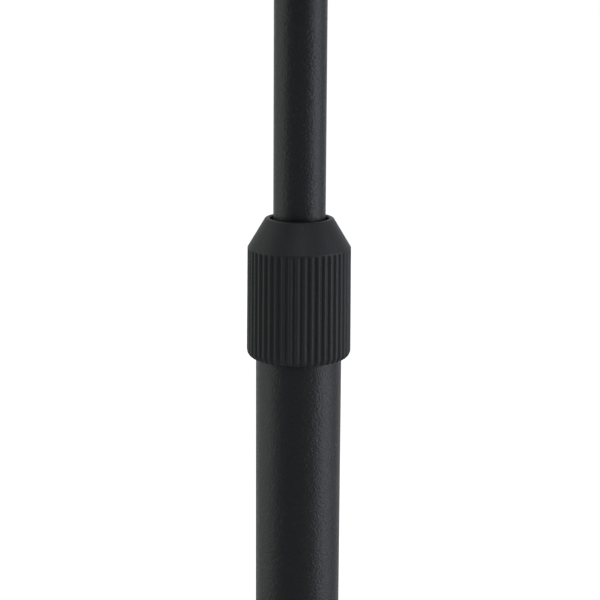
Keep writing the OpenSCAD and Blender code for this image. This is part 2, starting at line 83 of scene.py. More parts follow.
# %% Turned shape
def turned(corners, steps=96, arc=5):
    """A closed outline of (radius, height, rounding) spun about Z."""
    bm = outline(corners, arc)
    bmesh.ops.delete(bm, geom=bm.faces[:], context="FACES_ONLY")
    on_axis = [e for e in bm.edges if all(abs(v.co.x) < touching for v in e.verts)]
    bmesh.ops.delete(bm, geom=on_axis, context="EDGES")
    bmesh.ops.spin(bm, geom=bm.verts[:] + bm.edges[:], cent=(0, 0, 0), axis=(0, 0, 1), angle=2 * math.pi,
                   steps=steps, use_merge=True)
    bmesh.ops.remove_doubles(bm, verts=bm.verts, dist=touching)
    bmesh.ops.delete(bm, geom=[v for v in bm.verts if not v.link_faces], context="VERTS")
    bmesh.ops.recalc_face_normals(bm, faces=bm.faces)
    return bm


# %% Slab with eased edges
def slab(corners, thickness, arc=6):
    """An outline made thickness deep, half to either side of y = 0."""
    bm = outline(corners, arc)
    bmesh.ops.translate(bm, verts=bm.verts, vec=(0, -thickness / 2, 0))
    grown = bmesh.ops.extrude_face_region(bm, geom=bm.faces[:])["geom"]
    bmesh.ops.translate(bm, verts=[v for v in grown if isinstance(v, bmesh.types.BMVert)],
                        vec=(0, thickness, 0))
    bmesh.ops.recalc_face_normals(bm, faces=bm.faces)
    return bm


def ease(bm, width, segments=3, angle=50):
    """Rounds every edge sharper than the angle, as a mould, a press or a file would."""
    sharp = [e for e in bm.edges if len(e.link_faces) == 2
             and e.calc_face_angle(0) > math.radians(angle)]
    bmesh.ops.bevel(bm, geom=sharp, offset=width, offset_type="OFFSET", segments=segments, profile=0.5,
                    affect="EDGES", clamp_overlap=True, material=-1)
    return bm


# %% Placing shapes
def moved(bm, matrix):
    bmesh.ops.transform(bm, matrix=matrix, verts=bm.verts)
    return bm


def shift(x=0.0, y=0.0, z=0.0):
    return Matrix.Translation((x, y, z))


def turn(degrees, axis):
    return Matrix.Rotation(math.radians(degrees), 4, axis)


along_x, along_y, along_front = turn(90, "Y"), turn(-90, "X"), turn(90, "X")


def box_in(place, name):
    """Lowest and highest corner of a CAD node, measured in a placed part's own axes."""
    back = place.inverted()
    points = [back @ v.co for v in nodes[name].data.vertices]
    return tuple(Vector([pick(p[k] for p in points) for k in range(3)]) for pick in (min, max))


# %% [markdown]
# ## Helpers: joining shapes, and folded sheet
# A casting with lugs is several simple shapes welded into one skin, which the exact boolean does well as long as
# the shapes cross each other cleanly. A sheet-metal part is made the way a press brake makes it: a strip is drawn as
# an open line, extruded to its length, and beveled along each fold. Its thickness comes last, from Solidify.

# %% Weld
def weld_on(obj, other):
    modifier = obj.modifiers.new("weld", "BOOLEAN")
    modifier.object = other
    modifier.operation = "UNION"
    modifier.solver = "EXACT"
    depsgraph = bpy.context.evaluated_depsgraph_get()
    mesh = bpy.data.meshes.new_from_object(obj.evaluated_get(depsgraph))
    obj.modifiers.remove(modifier)
    old, obj.data = obj.data, mesh
    bpy.data.meshes.remove(old)


def scratch(bm):
    """A throwaway object, for the boolean to work on."""
    mesh = bpy.data.meshes.new("scratch")
    bm.to_mesh(mesh)
    bm.free()
    obj = bpy.data.objects.new("scratch", mesh)
    bpy.context.scene.collection.objects.link(obj)
    return obj


def welded(base, *others):
    """Shapes joined into one skin."""
    body = scratch(base)
    for shape in others:
        tool = scratch(shape)
        weld_on(body, tool)
        bpy.data.objects.remove(tool)
    result = bmesh.new()
    result.from_mesh(body.data)
    bpy.data.objects.remove(body)
    bmesh.ops.remove_doubles(result, verts=result.verts, dist=10 * touching)
    return result


def together(*shapes):
    """Shapes that stay separate skins, in one bmesh."""
    first = shapes[0]
    for other in shapes[1:]:
        mesh = bpy.data.meshes.new("scratch")
        other.to_mesh(mesh)
        other.free()
        first.from_mesh(mesh)
        bpy.data.meshes.remove(mesh)
    return first


# %% Folded strip
def extruded(bm, edges, vec):
    """Grows edges into faces and gives back the edges at the far side."""
    grown = bmesh.ops.extrude_edge_only(bm, edges=edges)["geom"]
    bmesh.ops.translate(bm, verts=[g for g in grown if isinstance(g, bmesh.types.BMVert)], vec=vec)
    return [g for g in grown if isinstance(g, bmesh.types.BMEdge)]


def folded(points, length, bend, arc=4):
    """The middle skin of a strip bent at its (y, z) points, length long in X."""
    bm = bmesh.new()
    verts = [bm.verts.new((-length / 2, y, z)) for y, z in points]
    extruded(bm, [bm.edges.new(pair) for pair in zip(verts, verts[1:])], (length, 0, 0))
    folds = [e for e in bm.edges if len(e.link_faces) == 2]
    bmesh.ops.bevel(bm, geom=folds, offset=bend, offset_type="OFFSET", segments=arc, profile=0.5,
                    affect="EDGES", material=-1)
    bmesh.ops.recalc_face_normals(bm, faces=bm.faces)
    return bm


# %% [markdown]
# ## From a shape to a piece
# A piece has its place in its mesh, so its object stays at the origin like a CAD node. Faces are shaded smooth and
# only the edges that are really sharp are marked, which keeps a tube round and a plate's corner crisp. A sheet piece
# gets its thickness and its eased edges from modifiers that keep its flats flat. Other pieces use weighted normals
# for that, except the turned ones, which have no flats to keep.

# %% Piece
deburred = 0.25 * mm
deburr_from = math.radians(50)


def piece(name, bm, material, body, *stands_for, sharp=40, sheet=0.0, weighted=True):
    """Turns a bmesh into a piece that rides on a body and replaces CAD nodes."""
    for face in bm.faces:
        face.smooth = True
    for edge in bm.edges:
        edge.smooth = len(edge.link_faces) != 2 or edge.calc_face_angle(0) < math.radians(sharp)
    mesh = bpy.data.meshes.new(name)
    bm.to_mesh(mesh)
    bm.free()
    made = bpy.data.objects.new(name, mesh)
    bpy.context.scene.collection.objects.link(made)
    mesh.materials.append(material)
    if sheet:
        skin = made.modifiers.new("thickness", "SOLIDIFY")
        skin.thickness, skin.offset = sheet, 0
        skin.use_even_offset, skin.use_quality_normals = True, True
        soft = made.modifiers.new("eased edges", "BEVEL")
        soft.width, soft.segments, soft.harden_normals = deburred, 2, True
        soft.limit_method, soft.angle_limit = "ANGLE", deburr_from
    elif weighted:
        made.modifiers.new("flat flats", "WEIGHTED_NORMAL").keep_sharp = True
    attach(made, body)
    if stands_for:
        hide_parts(*stands_for)
    print(name, len(mesh.polygons), "faces")


# %% [markdown]
# ## Finishes: shared effects
# Powder coat, moulded plastic and rubber all get their character from a fine, even grain that catches the light.
# One group makes that grain at any scale and gives back a height for the bump and a mask of the odd brighter
# speck. A second group turns the mesh's own convexity into a mask of rubbed edges, and a third finds the dust that
# settles on faces that look up.

# %% Grain group
def sockets(tree, inputs, outputs):
    for name, value in inputs:
        socket = tree.interface.new_socket(name=name, in_out="INPUT", socket_type="NodeSocketFloat")
        socket.default_value = value
    for name in outputs:
        tree.interface.new_socket(name=name, in_out="OUTPUT", socket_type="NodeSocketFloat")


def node(tree, kind, **values):
    """A new node with its properties or named inputs set."""
    made = tree.nodes.new(kind)
    for key, value in values.items():
        if hasattr(made, key):
            setattr(made, key, value)
        else:
            made.inputs[key.replace("_", " ")].default_value = value
    return made


def spread(tree, source, low, high, to_low=0.0, to_high=1.0):
    """source stretched so that low becomes to_low and high becomes to_high, clamped."""
    ramp = node(tree, "ShaderNodeMapRange", clamp=True, From_Min=low, From_Max=high, To_Min=to_low, To_Max=to_high)
    tree.links.new(source, ramp.inputs["Value"])
    return ramp.outputs["Result"]


def product(tree, first, second):
    both = node(tree, "ShaderNodeMath", operation="MULTIPLY")
    tree.links.new(first, both.inputs[0])
    tree.links.new(second, both.inputs[1])
    return both.outputs[0]


def bumped(tree, height, relief, shader):
    """Lets a height from 0 to 1 raise the surface by up to relief millimetres."""
    bump = node(tree, "ShaderNodeBump", Strength=1.0, Distance=relief * mm)
    tree.links.new(height, bump.inputs["Height"])
    tree.links.new(bump.outputs["Normal"], shader.inputs["Normal"])


def grain_group():
    tree = bpy.data.node_groups.new("surface grain", "ShaderNodeTree")
    sockets(tree, [("Grains per metre", 1500.0), ("Ripples per metre", 250.0), ("Ripple share", 0.3)],
            ["Height", "Specks"])
    inside = node(tree, "NodeGroupInput")
    outside = node(tree, "NodeGroupOutput")
    place = node(tree, "ShaderNodeTexCoord").outputs["Object"]
    fine = node(tree, "ShaderNodeTexNoise", Detail=2.0, Roughness=0.6)
    wide = node(tree, "ShaderNodeTexNoise", Detail=1.0, Roughness=0.5)
    for noise, scale in ((fine, "Grains per metre"), (wide, "Ripples per metre")):
        tree.links.new(place, noise.inputs["Vector"])
        tree.links.new(inside.outputs[scale], noise.inputs["Scale"])
    mix = node(tree, "ShaderNodeMix", data_type="FLOAT")
    tree.links.new(inside.outputs["Ripple share"], mix.inputs[0])
    tree.links.new(fine.outputs["Fac"], mix.inputs[2])
    tree.links.new(wide.outputs["Fac"], mix.inputs[3])
    tree.links.new(mix.outputs[0], outside.inputs["Height"])
    tree.links.new(spread(tree, fine.outputs["Fac"], 0.62, 0.78), outside.inputs["Specks"])
    return tree


grain = grain_group()
print("group", grain.name)

# %% Rubbed edge and dust groups
def rubbed_group():
    tree = bpy.data.node_groups.new("rubbed edges", "ShaderNodeTree")
    sockets(tree, [("Sharpness", 0.56), ("Patchiness", 60.0)], ["Mask"])
    inside = node(tree, "NodeGroupInput")
    outside = node(tree, "NodeGroupOutput")
    place = node(tree, "ShaderNodeTexCoord").outputs["Object"]
    patches = node(tree, "ShaderNodeTexNoise", Detail=3.0)
    tree.links.new(place, patches.inputs["Vector"])
    tree.links.new(inside.outputs["Patchiness"], patches.inputs["Scale"])
    convex = spread(tree, node(tree, "ShaderNodeNewGeometry").outputs["Pointiness"], 0.56, 0.7)
    tree.links.new(inside.outputs["Sharpness"], convex.node.inputs["From Min"])
    worn = product(tree, convex, spread(tree, patches.outputs["Fac"], 0.35, 0.6))
    tree.links.new(worn, outside.inputs["Mask"])
    return tree


def dust_group():
    tree = bpy.data.node_groups.new("settled dust", "ShaderNodeTree")
    sockets(tree, [("Amount", 0.3)], ["Mask"])
    inside = node(tree, "NodeGroupInput")
    outside = node(tree, "NodeGroupOutput")
    up = node(tree, "ShaderNodeSeparateXYZ")
    tree.links.new(node(tree, "ShaderNodeNewGeometry").outputs["Normal"], up.inputs[0])
    place = node(tree, "ShaderNodeTexCoord").outputs["Object"]
    drift = node(tree, "ShaderNodeTexNoise", Scale=40.0, Detail=4.0)
    tree.links.new(place, drift.inputs["Vector"])
    facing = spread(tree, up.outputs["Z"], 0.55, 1.0)
    cover = product(tree, facing, spread(tree, drift.outputs["Fac"], 0.3, 0.7))
    tree.links.new(product(tree, cover, inside.outputs["Amount"]), outside.inputs["Mask"])
    return tree


rubbed, dust = rubbed_group(), dust_group()
print("groups", rubbed.name, "and", dust.name)

# %% [markdown]
# ## Finishes: the materials
# Each finish is one Principled shader. Colour and roughness are steered by the shared masks, so that a black part
# is never one flat black: grain breaks up its highlight, rubbed edges are a touch lighter and smoother, and dust
# greys what looks up. `coated` makes all the dark finishes from their own colour, gloss and grain.

# %% Dark coated and moulded finishes
dust_colour = (0.09, 0.088, 0.084)


def blank(name):
    made = bpy.data.materials.new(name)
    made.use_nodes = True
    tree = made.node_tree
    return made, tree, tree.nodes["Principled BSDF"]


def use_group(tree, group, **values):
    made = node(tree, "ShaderNodeGroup", node_tree=group)
    for key, value in values.items():
        made.inputs[key.replace("_", " ")].default_value = value
    return made


def tinted(tree, mask, under, over):
    """A colour that goes from under to over as the mask rises. under may be a colour or a socket."""
    mix = node(tree, "ShaderNodeMix", data_type="RGBA")
    tree.links.new(mask, mix.inputs[0])
    if isinstance(under, tuple):
        mix.inputs[6].default_value = (*under, 1)
    else:
        tree.links.new(under, mix.inputs[6])
    mix.inputs[7].default_value = (*over, 1)
    return mix.outputs[2]


def coated(name, colour, roughness, grains=1500.0, ripples=250.0, ripple_share=0.3, relief=0.03, speck=1.35,
           gloss=0.5, wear=0.5, dusty=0.15):
    """A dark finish; relief is in millimetres, speck is how much brighter the odd grain is."""
    made, tree, shader = blank(name)
    texture = use_group(tree, grain, Grains_per_metre=grains, Ripples_per_metre=ripples,
                        Ripple_share=ripple_share)
    worn = use_group(tree, rubbed)
    settled = use_group(tree, dust, Amount=dusty)
    speckled = tinted(tree, texture.outputs["Specks"], colour, tuple(c * speck for c in colour))
    paler = tuple(c + 0.02 * wear for c in colour)
    edged = tinted(tree, worn.outputs["Mask"], speckled, paler)
    dusted = tinted(tree, settled.outputs["Mask"], edged, dust_colour)
    tree.links.new(dusted, shader.inputs["Base Color"])
    height = texture.outputs["Height"]
    uneven = spread(tree, height, 0.3, 0.7, roughness - 0.05, roughness + 0.06)
    tree.links.new(uneven, shader.inputs["Roughness"])
    bumped(tree, height, relief, shader)
    shader.inputs["Specular IOR Level"].default_value = gloss
    return made


tube_coat = coated("black powder coat on tube", (0.012, 0.0122, 0.0125), 0.40, grains=1150, ripples=330,
                   relief=0.34, speck=2.2)
sheet_coat = coated("black powder coat on sheet", (0.013, 0.0132, 0.0135), 0.42, grains=1500, ripples=260,
                    relief=0.04)
cast_coat = coated("black paint on casting", (0.013, 0.0132, 0.0135), 0.45, grains=900, ripples=160,
                   relief=0.06)
grip_plastic = coated("ribbed grip plastic", (0.014, 0.0143, 0.0147), 0.52, grains=1500, ripples=500,
                      relief=0.06, speck=1.4, wear=0.7)
hub_plastic = coated("moulded nylon", (0.013, 0.0132, 0.0136), 0.55, grains=2200, ripples=420, relief=0.03)
knob_plastic = coated("knob plastic", (0.012, 0.0122, 0.0126), 0.5, grains=2400, ripples=450, relief=0.025,
                      wear=0.8)
boot_rubber = coated("boot rubber", (0.011, 0.011, 0.011), 0.72, grains=1300, ripples=300, relief=0.05,
                     speck=1.5, gloss=0.35, dusty=0.3)
rivet_coat = coated("blackened rivet", (0.016, 0.0162, 0.0166), 0.4, grains=1500, relief=0.02, wear=1.0)
print("dark finishes ready")

# %% [markdown]
# ## Finishes: bare metal and nylon
# The small parts that aren't painted are plated, machined or moulded. `bare` makes them from a colour, a roughness
# and fine streaks. The streaks are a stretched noise that varies the gloss as tool marks do, and a wide, faint blotch
# keeps the colour from being perfectly even.

# %% Bare finishes
def bare(name, colour, roughness, metallic, grains=3000.0, relief=0.01, brushed=1.0, streak=0.12):
    """Metal or nylon with a fine machined streak; brushed packs the streaks closer along Z."""
    made, tree, shader = blank(name)
    place = node(tree, "ShaderNodeTexCoord").outputs["Object"]
    stretch = node(tree, "ShaderNodeMapping")
    stretch.inputs["Scale"].default_value = (1, 1, brushed)
    tree.links.new(place, stretch.inputs["Vector"])
    lines = node(tree, "ShaderNodeTexNoise", Scale=grains, Detail=3.0)
    tree.links.new(stretch.outputs["Vector"], lines.inputs["Vector"])
    blotch = node(tree, "ShaderNodeTexNoise", Scale=120.0, Detail=2.0)
    tree.links.new(place, blotch.inputs["Vector"])
    mask = spread(tree, blotch.outputs["Fac"], 0.3, 0.7)
    duller = tuple(c * 0.88 for c in colour)
    tree.links.new(tinted(tree, mask, duller, colour), shader.inputs["Base Color"])
    rough = spread(tree, lines.outputs["Fac"], 0.3, 0.7, roughness - streak / 2, roughness + streak / 2)
    tree.links.new(rough, shader.inputs["Roughness"])
    bumped(tree, lines.outputs["Fac"], relief, shader)
    shader.inputs["Metallic"].default_value = metallic
    return made


zinc = bare("zinc-plated steel", (0.55, 0.56, 0.58), 0.32, 1.0)
alloy = bare("turned aluminium", (0.66, 0.67, 0.68), 0.3, 1.0, brushed=12.0)
brass = bare("machined brass", (0.72, 0.52, 0.24), 0.3, 1.0)
nylon = bare("natural nylon", (0.72, 0.69, 0.61), 0.45, 0.0, grains=900, relief=0.02)
fibre = bare("friction fibre", (0.055, 0.052, 0.048), 0.8, 0.0, grains=1400, relief=0.08)
print("bare finishes ready")

# %% [markdown]
# ## The twist clutch's collar
# This is the part that the hand turns: a moulded sleeve with straight grip ribs, a smooth cone on top and a rounded
# mouth round the inner tube. It could be cut rib by rib with booleans, but forty-five of them leave rough edges.
# Here the sleeve is spun with sixteen steps to every rib and cut into rows. The points between two ribs are then
# drawn in, which keeps the mesh clean and lets each groove fade out smoothly below the cone.

# %% Collar sizes, from the frame
column_low, column_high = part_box("outer_tube")
mast_low, mast_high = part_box("inner_tube")
collar_low, collar_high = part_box("clutch_collar")
column_r = (column_high.x - column_low.x) / 2
mast_r = (mast_high.x - mast_low.x) / 2
foot_r = (collar_high.x - collar_low.x) / 2
collar_h = collar_high.z - collar_low.z
cone_h = 11 * mm
draft = 0.25 * mm
mouth_gap = 1.25 * mm
rim_w = 1.6 * mm
running_gap = 0.1 * mm
print("collar", round(foot_r * 2000, 1), "mm across,", round(collar_h * 1000, 1), "mm high")

# %% Collar
rib_count = 45
steps_per_rib = 16
groove_depth = 0.72 * mm
groove_half = 0.42
groove_floor_r = column_r + 0.9 * mm
foot_round = 3 * mm
grip_rows = 14
fade_from = 0.45 * mm
fade_length = 0.9 * mm
fade_rows = (1.8, 1.4, 1.1, 0.8, 0.55)
shoulder_z = collar_h - 9.7 * mm


def groove(phase):
    """How deep the grip is cut, from 0 on a rib to 1 in the middle of a groove."""
    share = max(0.0, 1 - abs(phase) / groove_half)
    return share * share * (3 - 2 * share)


def plain_collar(cone_z):
    """The sleeve without its ribs, with its foot at z = 0."""
    rim_in, skirt_r = mast_r + mouth_gap, column_r + running_gap
    return turned([(skirt_r, 0, 0.3 * mm), (foot_r, 0, foot_round), (foot_r - draft, cone_z, 0.5 * mm),
                   (rim_in + rim_w, collar_h, 1 * mm), (rim_in, collar_h, 0.7 * mm), (rim_in, shoulder_z, 0),
                   (skirt_r, shoulder_z, 0)], steps=rib_count * steps_per_rib, arc=7)


def spun_collar():
    cone_z = collar_h - cone_h
    bm = plain_collar(cone_z)
    even = [foot_round + (cone_z - foot_round) * k / grip_rows for k in range(1, grip_rows)]
    for height in sorted(even + [cone_z - below * mm for below in fade_rows]):
        bmesh.ops.bisect_plane(bm, geom=bm.verts[:] + bm.edges[:] + bm.faces[:], dist=touching,
                               plane_co=(0, 0, height), plane_no=(0, 0, 1))
    pitch = 2 * math.pi / rib_count
    for v in bm.verts:
        r = math.hypot(v.co.x, v.co.y)
        phase = (math.atan2(v.co.y, v.co.x) / pitch + 0.5) % 1 - 0.5
        fade = min(1.0, (cone_z - fade_from - v.co.z) / fade_length)
        if r > groove_floor_r and fade > 0:
            depth = groove_depth * groove(phase) * math.sqrt(1 - (1 - fade) ** 2)
            v.co.x *= (r - depth) / r
            v.co.y *= (r - depth) / r
    return moved(bm, shift(z=collar_low.z))


piece("grip_collar", spun_collar(), grip_plastic, "collar", "clutch_collar", sharp=60, weighted=False)

# %% [markdown]
# ## Tubes
# A CAD tube is drawn with few facets, and a powder-coated tube has a highlight that shows every one of them. So the
# tubes are spun again with many more steps, and their ends are eased as a deburring tool leaves them.

# %% Column and mast tubes
def tube(low, high, outer, wall, steps=160):
    soft = 0.35 * mm
    return turned([(outer - wall, low, soft), (outer, low, soft), (outer, high, soft), (outer - wall, high, soft)],
                  steps=steps, arc=3)


tube_wall = 1.5 * mm
piece("column_tube", tube(column_low.z, column_high.z, column_r, tube_wall), tube_coat, "column", "outer_tube",
      weighted=False)
piece("mast_tube", tube(mast_low.z, mast_high.z, mast_r, tube_wall), tube_coat, "mast", "inner_tube",
      weighted=False)

# %% [markdown]
# ## The desk panel
# The desk is one sheet of steel: punched, folded back all round as a stiff rim, and set back along its foot to make
# room for the shelf's flange. The blank is an outline with a circle for every hole, filled with triangles. Its edges
# are then extruded back for the rim, and the fold is a bevel, so it has a real bend radius.

# %% The desk's own axes and sizes
tilt_axis = Vector(joints["desk_tilt"]["pos_m"])
desk_face = Vector(mounts["desk_face"]["axis"])
lean = math.degrees(math.atan2(desk_face.z, -desk_face.y))
desk = Matrix.Translation(tilt_axis) @ turn(-lean, "X")
panel_low, panel_high = box_in(desk, "desk_panel")
shelf_low, shelf_high = box_in(desk, "music_shelf")
sheet = 1.2 * mm
shelf_z = shelf_high.z
for name in ("desk_panel", "music_shelf", "desk_spine", "tilt_bracket"):
    low, high = box_in(desk, name)
    print(name, [round(v * 1000, 1) for v in (*low, *high)])

# %% Desk panel
rim_h = 10 * mm
rim_bend = 2 * mm
corner_r = 20 * mm
flange_h = 18 * mm
desk_foot = panel_low.z + flange_h
hole_r = 5 * mm
hole_pitch = 36 * mm
hole_rows = 8
holes_across = 8
first_row = 4 * mm - (hole_rows - 1) * hole_pitch / 2
spine_clear = 43 * mm
edge_clear = 26 * mm


def hole_places():
    """Staggered rows to either side of the spine."""
    places = []
    for row in range(hole_rows):
        for k in range(holes_across):
            x = k * hole_pitch + (row % 2) * hole_pitch / 2
            if spine_clear < x < panel_high.x - edge_clear:
                places += [(side * x, first_row + row * hole_pitch) for side in (-1, 1)]
    return places


def panel_sheet():
    w, top, joggle = panel_high.x - sheet / 2, panel_high.z - sheet / 2, 2 * mm
    bm = outline([(-w, desk_foot + joggle, 0), (w, desk_foot + joggle, 0), (w, top, corner_r),
                  (-w, top, corner_r)], arc=10)
    bmesh.ops.delete(bm, geom=bm.faces[:], context="FACES_ONLY")
    border = bm.edges[:]
    for x, z in hole_places():
        bmesh.ops.create_circle(bm, segments=28, radius=hole_r, matrix=shift(x, 0, z) @ turn(90, "X"))
    bmesh.ops.triangle_fill(bm, use_beauty=True, edges=bm.edges[:], normal=(0, -1, 0))
    foot = [e for e in border if all(v.co.z < desk_foot + joggle + 10 * touching for v in e.verts)]
    rim = [e for e in border if e not in foot]
    step = extruded(bm, foot, (0, sheet, -joggle))
    extruded(bm, [e for e in step if e.calc_length() > w], (0, 0, panel_low.z - desk_foot))
    extruded(bm, rim, (0, rim_h - sheet / 2, 0))
    bmesh.ops.bevel(bm, geom=rim, offset=rim_bend, offset_type="OFFSET", segments=4, profile=0.5, affect="EDGES",
                    material=-1)
    bmesh.ops.remove_doubles(bm, verts=bm.verts, dist=10 * touching)
    bmesh.ops.recalc_face_normals(bm, faces=bm.faces)
    return moved(bm, desk @ shift(y=panel_low.y + sheet / 2))


piece("desk_sheet", panel_sheet(), sheet_coat, "desk", "desk_panel", sheet=sheet)

# %% [markdown]
# ## The music shelf
# The shelf is a second folded strip: a flange riveted under the panel, a floor, and a lip whose edge is curled over
# so that it doesn't cut paper. The three flats are drawn as a line and folded. The curl is the lip's top edge spun
# most of the way round, as curling dies roll it.

# %% Music shelf
bend_r = 1.8 * mm
curl_r = 1.6 * mm
curl_turn = math.radians(285)
lip_y = shelf_low.y + 2 * (curl_r + sheet / 2) - sheet / 2
flange_y = shelf_high.y - sheet / 2
floor_z = desk_foot - sheet / 2


def shelf_sheet():
    lip_top = shelf_z - curl_r - sheet / 2
    bm = folded([(flange_y, panel_low.z), (flange_y, floor_z), (lip_y, floor_z), (lip_y, lip_top)],
                shelf_high.x - shelf_low.x, bend_r)
    edge = [e for e in bm.edges if all(v.co.z > lip_top - 10 * touching for v in e.verts)]
    bmesh.ops.spin(bm, geom=edge + list(edge[0].verts), cent=(0, lip_y - curl_r, lip_top), axis=(1, 0, 0),
                   angle=curl_turn, steps=14)
    bmesh.ops.remove_doubles(bm, verts=bm.verts, dist=touching)
    bmesh.ops.recalc_face_normals(bm, faces=bm.faces)
    return moved(bm, desk)


piece("shelf_sheet", shelf_sheet(), sheet_coat, "desk", "music_shelf", sheet=sheet)

# %% [markdown]
# ## Spine and tilt bracket
# A hat-section spine stiffens the panel's back, and a U bracket on it carries the tilt bolt between two ears. The
# spine is another folded strip, turned upright. The bracket is a plate and two ears with round ends, each eased along
# its edges and then welded.

# %% Spine
spine_low, spine_high = box_in(desk, "desk_spine")
spine_t = 1.5 * mm
spine_web = 22 * mm
spine_bend = 1.9 * mm


def spine_sheet():
    near, far = spine_low.y + spine_t / 2, spine_high.y - spine_t / 2
    web = spine_web - spine_t / 2
    section = [(spine_low.x, near), (-web, near), (-web, far), (web, far), (web, near), (spine_high.x, near)]
    upright = Matrix(((0, 1, 0, 0), (0, 0, 1, 0), (1, 0, 0, 0), (0, 0, 0, 1)))
    return moved(folded(section, spine_high.z - spine_low.z, spine_bend), desk @ upright)


piece("spine_sheet", spine_sheet(), sheet_coat, "desk", "desk_spine", sheet=spine_t)

# %% Tilt bracket
bracket_low, bracket_high = box_in(desk, "tilt_bracket")
ear_t = 2.5 * mm
plate_round = 4 * mm
filed = 0.6 * mm


def tilt_bracket():
    w, h, ear_r = bracket_high.x, bracket_high.z, bracket_high.y
    plate = slab([(x, z, plate_round) for x, z in ((-w, -h), (w, -h), (w, h), (-w, h))], ear_t)
    moved(ease(plate, filed), shift(y=bracket_low.y + ear_t / 2))
    ears = []
    root = bracket_low.y + ear_t / 3
    for side in (-1, 1):
        ear = slab([(root, -ear_r, 0), (ear_r, -ear_r, ear_r), (ear_r, ear_r, ear_r), (root, ear_r, 0)],
                   ear_t - 0.02 * mm, arc=12)
        ears.append(moved(ease(ear, filed), shift(side * (w - ear_t / 2)) @ turn(90, "Z")))
    return moved(welded(plate, *ears), desk)


piece("bracket_ears", tilt_bracket(), sheet_coat, "desk", "tilt_bracket")

# %% [markdown]
# ## Rivet heads
# The spine's six rivets show only their heads. A cut sphere would do at a distance, but a set rivet has a domed top
# and a soft rim, so each head is turned from an outline with both. All six stay separate skins in one piece, like
# the CAD node that they replace.

# %% Spine rivets
def rivet_head(radius, height):
    """A round head that rises from z = 0."""
    return turned([(0, -height, 0), (radius, -height / 4, 0), (radius, height * 0.35, height * 0.25),
                   (radius * 0.45, height, radius * 0.3), (0, height, 0)], steps=32, arc=3)


rivet_low, rivet_high = box_in(desk, "spine_rivets")
head_r = 4 * mm
head_h = 1.4 * mm
spine_heads = together(*[
    moved(rivet_head(head_r, head_h), desk @ shift(x, rivet_high.y - head_h, z) @ along_y)
    for x in (rivet_low.x + head_r, rivet_high.x - head_r)
    for z in (rivet_low.z + head_r, 0, rivet_high.z - head_r)])
piece("spine_rivet_heads", spine_heads, rivet_coat, "desk", "spine_rivets", sharp=60)

# %% [markdown]
# ## Tilt head
# The head on top of the mast is a casting: a barrel that the desk turns on, and a socket that holds the tube. The
# two are turned shapes that cross, so they are spun apart and welded, with a thick lip at the socket's mouth.

# %% Tilt head
barrel_low, barrel_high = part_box("tilt_head")
barrel_r = barrel_high.z - tilt_axis.z
half_w = min(barrel_high.x, 15 * mm)
bolt_r = 4 * mm
socket_r = mast_r + 3.5 * mm
lip_r = socket_r + 1.2 * mm
lip_h = 4.8 * mm
tube_stop = 20 * mm


def tilt_head():
    barrel = turned([(bolt_r, -half_w, 0.4 * mm), (barrel_r, -half_w, 1.4 * mm), (barrel_r, half_w, 1.4 * mm),
                     (bolt_r, half_w, 0.4 * mm)])
    foot = barrel_low.z - tilt_axis.z
    lip = foot + lip_h
    socket = turned([(mast_r, foot, 0.6 * mm), (lip_r, foot, 1.1 * mm), (lip_r, lip, 0.8 * mm),
                     (socket_r, lip + 0.8 * mm, 0.5 * mm), (socket_r, -barrel_r / 2, 0), (0, -barrel_r / 2, 0),
                     (0, -tube_stop, 0), (mast_r, -tube_stop, 0)])
    return moved(welded(moved(barrel, along_x), socket), Matrix.Translation(tilt_axis))


piece("tilt_head_casting", tilt_head(), cast_coat, "mast", "tilt_head", sharp=35)

# %% [markdown]
# ## Knobs
# Both clamp knobs are moulded with five hollows for the fingers. Each is spun as a plain round knob with soft edges.
# Its outer rings are then drawn in towards the axis in five places, fading to nothing at the middle, so that the
# hollows run out smoothly over the face.

# %% Knobs
hollows = 5
hollow_half = 0.36
insert_r = 6.5 * mm
knob = dict(knob_r=21 * mm, hub_r=9.5 * mm, hub_h=11 * mm, body_h=16 * mm)


def finger_knob(knob_r, hub_r, hub_h, body_h, bore_r):
    """A knob that rises along Z from its hub's face at z = 0."""
    top, bore_top = hub_h + body_h, hub_h + body_h * 0.6
    bm = turned([(bore_r, 0, 0.3 * mm), (hub_r, 0, 0.9 * mm), (hub_r, hub_h, 1.2 * mm), (knob_r, hub_h, 2.6 * mm),
                 (knob_r, top, 4.2 * mm), (knob_r * 0.6, top + 0.6 * mm, 3 * mm), (knob_r * 0.52, top - mm, mm),
                 (0, top - mm, 0), (0, bore_top, 0), (bore_r, bore_top, 0)], steps=240, arc=6)
    depth, still_r = 0.17 * knob_r, 0.55 * knob_r
    for v in bm.verts:
        r = math.hypot(v.co.x, v.co.y)
        phase = (math.degrees(math.atan2(v.co.y, v.co.x)) * hollows / 360) % 1 - 0.5
        hollow = 0.5 + 0.5 * math.cos(min(abs(phase) / hollow_half, 1.0) * math.pi)
        out = max(0.0, (r - still_r) / (knob_r - still_r))
        if v.co.z > hub_h - 0.1 * mm and out > 0:
            v.co.x *= 1 - depth * hollow * out / r
            v.co.y *= 1 - depth * hollow * out / r
    return bm


tilt_knob_low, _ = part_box("tilt_knob")
tilt_knob_place = shift(tilt_knob_low.x, 0, tilt_axis.z) @ turn(-lean, "X") @ along_x
piece("tilt_knob_grip", moved(finger_knob(**knob, bore_r=insert_r), tilt_knob_place), knob_plastic,
      "tilt_knob", "tilt_knob", sharp=60, weighted=False)
_, lock_knob_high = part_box("lock_knob")
lock_z = joints["lock_knob_turn"]["pos_m"][2]
lock_knob_place = shift(0, lock_knob_high.y, lock_z) @ along_front
piece("lock_knob_grip", moved(finger_knob(**knob, bore_r=bolt_r), lock_knob_place), knob_plastic,
      "lock_knob", "lock_knob", sharp=60, weighted=False)

